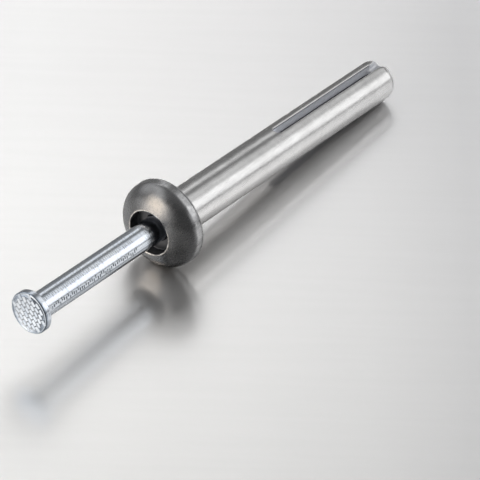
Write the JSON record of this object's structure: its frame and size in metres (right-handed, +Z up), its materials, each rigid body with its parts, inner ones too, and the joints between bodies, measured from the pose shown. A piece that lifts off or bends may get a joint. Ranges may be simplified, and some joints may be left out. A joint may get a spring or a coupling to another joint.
{
  "type": "hammer drive anchor",
  "caption": "Hammer drive anchor: a mushroom-head cast zinc sleeve, slotted to spread in a drilled hole, with a flat-head steel nail started in its bore.",
  "frame": {"origin": "point where the centre line meets the flat underside of the mushroom head", "axes": "+X along the sleeve towards its tip, dropped 3.92 degrees below the horizontal as the anchor lies; +Z up; +Y to the left of +X; one slot faces up and the other down"},
  "size_m": [0.0803, 0.013, 0.0131],
  "materials": {
    "cast_zinc": "die-cast zinc alloy, tumbled to a fine satin grey",
    "plated_steel": "steel with bright zinc plating, faintly blue and close to a mirror"
  },
  "bodies": {
    "root": {"anchor_body": "cast_zinc", "drive_nail": "plated_steel"}
  },
  "joints": []
}
